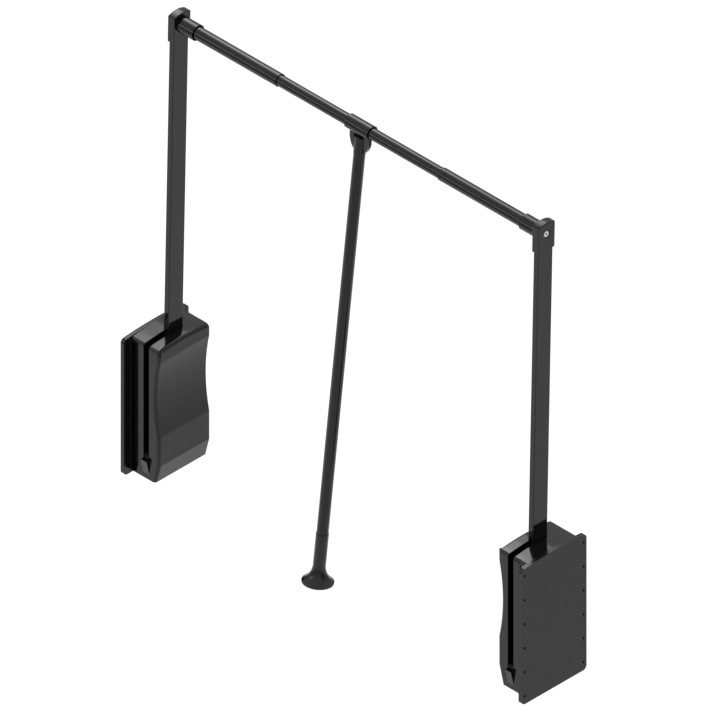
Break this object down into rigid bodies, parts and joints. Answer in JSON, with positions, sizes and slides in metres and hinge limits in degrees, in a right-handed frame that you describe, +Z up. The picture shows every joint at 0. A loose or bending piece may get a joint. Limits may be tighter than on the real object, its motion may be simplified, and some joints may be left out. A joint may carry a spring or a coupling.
{
  "type": "pull down closet rod",
  "caption": "Wardrobe lift: telescopic hanging rail on two sprung arms between wall housings, swung down to the front by a hinged pull handle.",
  "frame": {"origin": "on the outer face of the left wall plate, on the common axis of the two arm pivots", "axes": "+X along the rail from the left housing to the right one, -Y to the user in front, +Z up"},
  "size_m": [0.851, 0.1687, 0.8283],
  "materials": {
    "coated_steel": "satin powder coat, charcoal",
    "plate_plastic": "moulded, satin, charcoal",
    "housing_plastic": "moulded, fine satin gloss, charcoal",
    "tube_metal": "glossy coated steel tube, charcoal",
    "bright_steel": "zinc plated",
    "spring_steel": "oiled",
    "black_plastic": "matte",
    "stop_rubber": "matte"
  },
  "bodies": {
    "left_housing": {"left_mounting_plate": "plate_plastic", "left_base_tray": "housing_plastic", "left_cover": "housing_plastic", "left_pivot_axle": "bright_steel", "left_axle_spacers": "black_plastic", "left_guide_rod": "bright_steel", "left_rod_brackets": "bright_steel", "left_return_spring": "spring_steel", "left_back_stop": "stop_rubber", "left_front_stop": "stop_rubber", "left_corner_pins": "bright_steel"},
    "left_frame": {"left_arm": "coated_steel", "left_hub_gear": "black_plastic", "left_arm_bush": "black_plastic", "left_hub_rivets": "bright_steel", "left_rod_cap": "housing_plastic", "left_rod_cup": "housing_plastic", "left_cap_screw": "bright_steel", "left_outer_tube": "tube_metal", "left_guide_bush": "black_plastic"},
    "left_rack": {"left_rack": "bright_steel"},
    "inner_rod": {"inner_tube": "tube_metal", "inner_tube_glides": "black_plastic", "clamp_sleeve": "housing_plastic", "clamp_liner": "black_plastic", "clamp_grub_screw": "bright_steel", "handle_hinge_pin": "bright_steel"},
    "handle": {"handle_head": "housing_plastic", "handle_tube": "tube_metal", "handle_foot": "housing_plastic"},
    "right_frame": {"right_arm": "coated_steel", "right_hub_gear": "black_plastic", "right_arm_bush": "black_plastic", "right_hub_rivets": "bright_steel", "right_rod_cap": "housing_plastic", "right_rod_cup": "housing_plastic", "right_cap_screw": "bright_steel", "right_outer_tube": "tube_metal", "right_guide_bush": "black_plastic"},
    "right_housing": {"right_mounting_plate": "plate_plastic", "right_base_tray": "housing_plastic", "right_cover": "housing_plastic", "right_pivot_axle": "bright_steel", "right_axle_spacers": "black_plastic", "right_guide_rod": "bright_steel", "right_rod_brackets": "bright_steel", "right_return_spring": "spring_steel", "right_back_stop": "stop_rubber", "right_front_stop": "stop_rubber", "right_corner_pins": "bright_steel"},
    "right_rack": {"right_rack": "bright_steel"}
  },
  "joints": [
    {"name": "arm_swing", "type": "hinge", "parent": "left_housing", "child": "left_frame", "pos_m": [0.039, 0, 0], "axis": [1, 0, 0], "range_deg": [0, 110], "stiffness_Nm_per_rad": 6, "springref_deg": -34.38},
    {"name": "left_rack_lift", "type": "slide", "parent": "left_housing", "child": "left_rack", "axis": [0, 0, 1], "range_m": [0, 0.0308], "deforming": ["left_return_spring"]},
    {"name": "rail_left_slide", "type": "slide", "parent": "left_frame", "child": "inner_rod", "axis": [1, 0, 0], "range_m": [-0.13, 0.03]},
    {"name": "handle_hinge", "type": "hinge", "parent": "inner_rod", "child": "handle", "pos_m": [0.4245, 0.01588, 0.69982], "axis": [1, 0, 0], "range_deg": [-110, 20]},
    {"name": "rail_right_slide", "type": "slide", "parent": "inner_rod", "child": "right_frame", "axis": [1, 0, 0], "range_m": [-0.13, 0.03]},
    {"name": "right_housing_hinge", "type": "hinge", "parent": "right_frame", "child": "right_housing", "pos_m": [0.812, 0, 0], "axis": [1, 0, 0], "range_deg": [-110, 0]},
    {"name": "right_rack_lift", "type": "slide", "parent": "right_housing", "child": "right_rack", "axis": [0, 0, 1], "range_m": [0, 0.0308], "deforming": ["right_return_spring"]}
  ],
  "couplings": [
    {"joint": "left_rack_lift", "follows": "arm_swing", "m_per_rad": 0.016},
    {"joint": "right_housing_hinge", "follows": "arm_swing", "ratio": -1},
    {"joint": "right_rack_lift", "follows": "arm_swing", "m_per_rad": 0.016}
  ]
}
